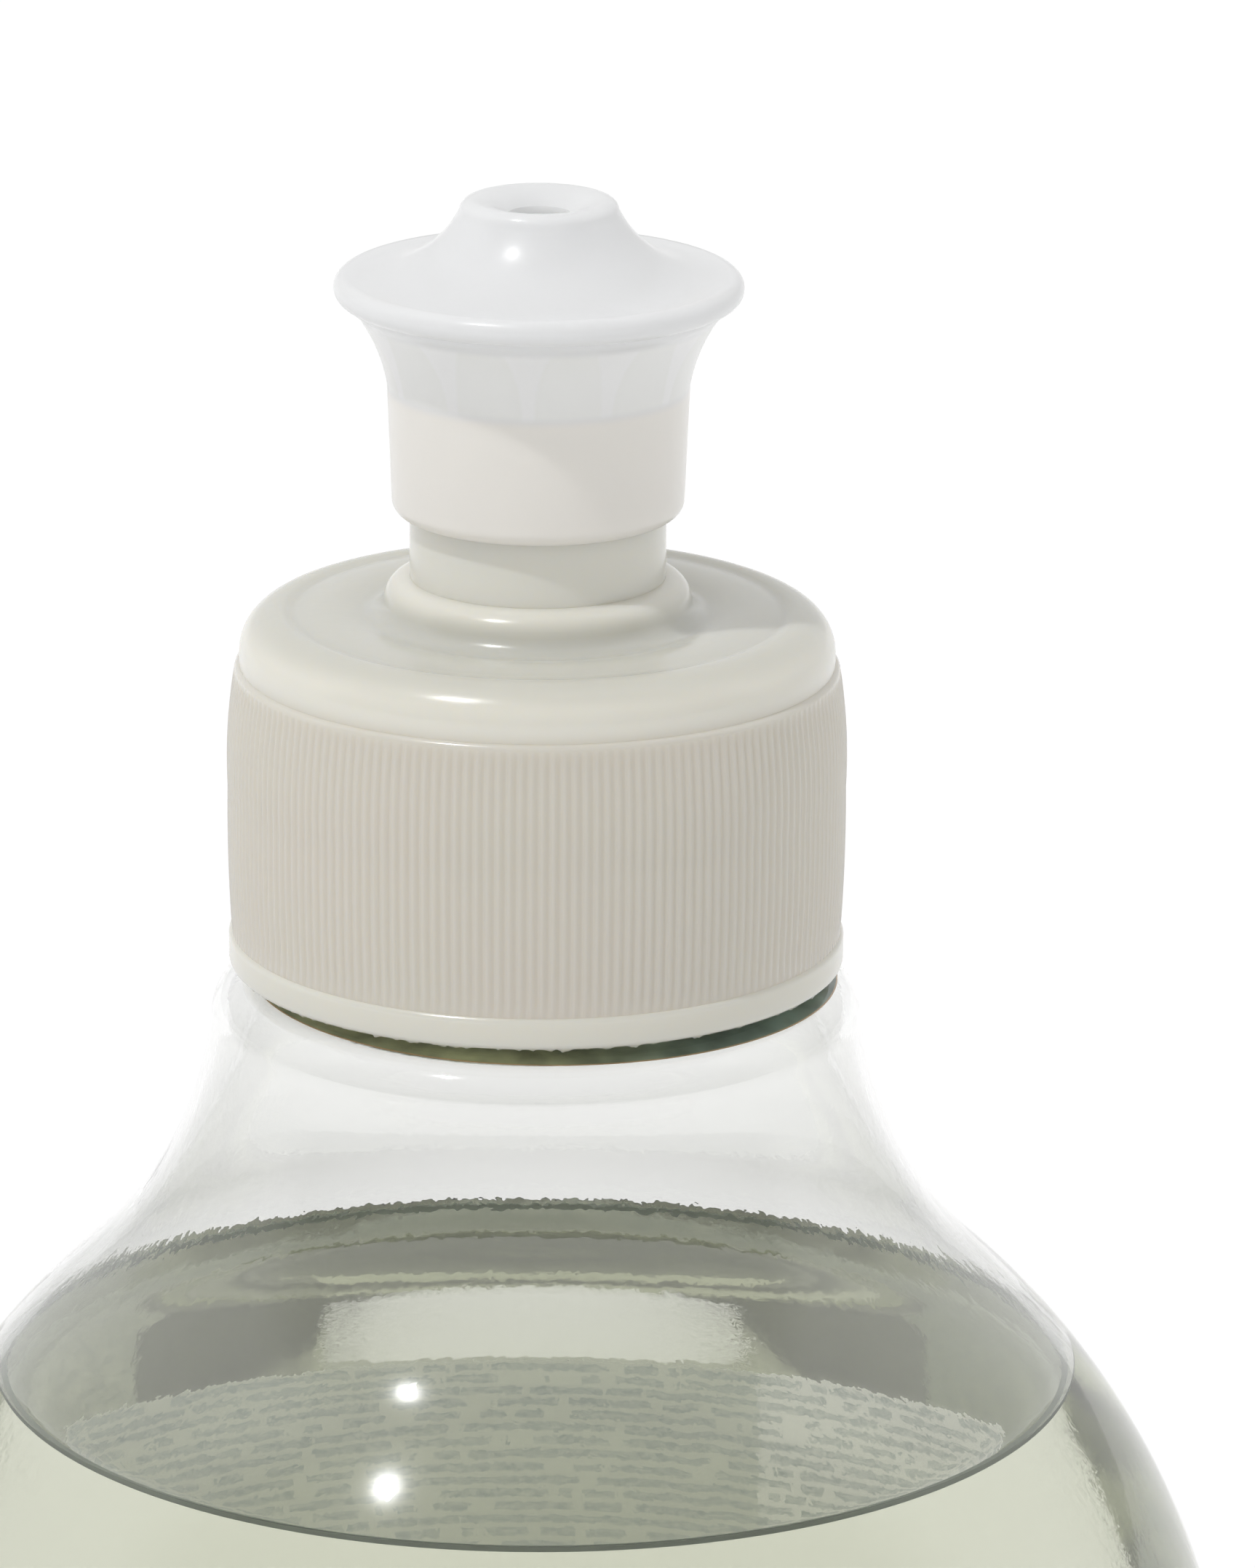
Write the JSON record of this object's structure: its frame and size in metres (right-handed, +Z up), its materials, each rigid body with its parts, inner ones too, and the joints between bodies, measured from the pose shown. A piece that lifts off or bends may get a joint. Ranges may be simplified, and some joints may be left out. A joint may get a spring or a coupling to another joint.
{
  "type": "dish soap bottle",
  "caption": "Round clear bottle of pale soap with a sloped shoulder, a ribbed screw cap and a push-pull nozzle.",
  "frame": {"origin": "centre of the circle that the bottle stands on, at the level of the surface", "axes": "+Z up along the bottle's axis, -Y towards the viewer of the picture, the label on the +Y side"},
  "size_m": [0.077, 0.0772, 0.1815],
  "materials": {
    "clear_plastic": "clear blown polyester",
    "soap": "clear pale yellow-green liquid",
    "label_film": "thin printed film",
    "seal_foam": "fine closed-cell foam",
    "cap_plastic": "natural ivory moulding",
    "nozzle_plastic": "translucent waxy moulding"
  },
  "bodies": {
    "bottle": {"bottle": "clear_plastic", "soap_liquid": "soap", "back_label": "label_film"},
    "seal": {"sealing_ring": "seal_foam"},
    "cap": {"screw_cap": "cap_plastic"},
    "nozzle": {"pull_nozzle": "nozzle_plastic"}
  },
  "joints": [
    {"name": "cap_lift", "type": "slide", "parent": "bottle", "child": "seal", "axis": [0, 0, 1], "range_m": [0, 0.0064]},
    {"name": "cap_turn", "type": "hinge", "parent": "seal", "child": "cap", "pos_m": [0, 0, 0.14], "axis": [0, 0, 1], "range_deg": [0, 540]},
    {"name": "nozzle_pull", "type": "slide", "parent": "cap", "child": "nozzle", "axis": [0, 0, 1], "range_m": [0, 0.0045]}
  ],
  "couplings": [
    {"joint": "cap_lift", "follows": "cap_turn", "m_per_rad": 0.0006737}
  ]
}
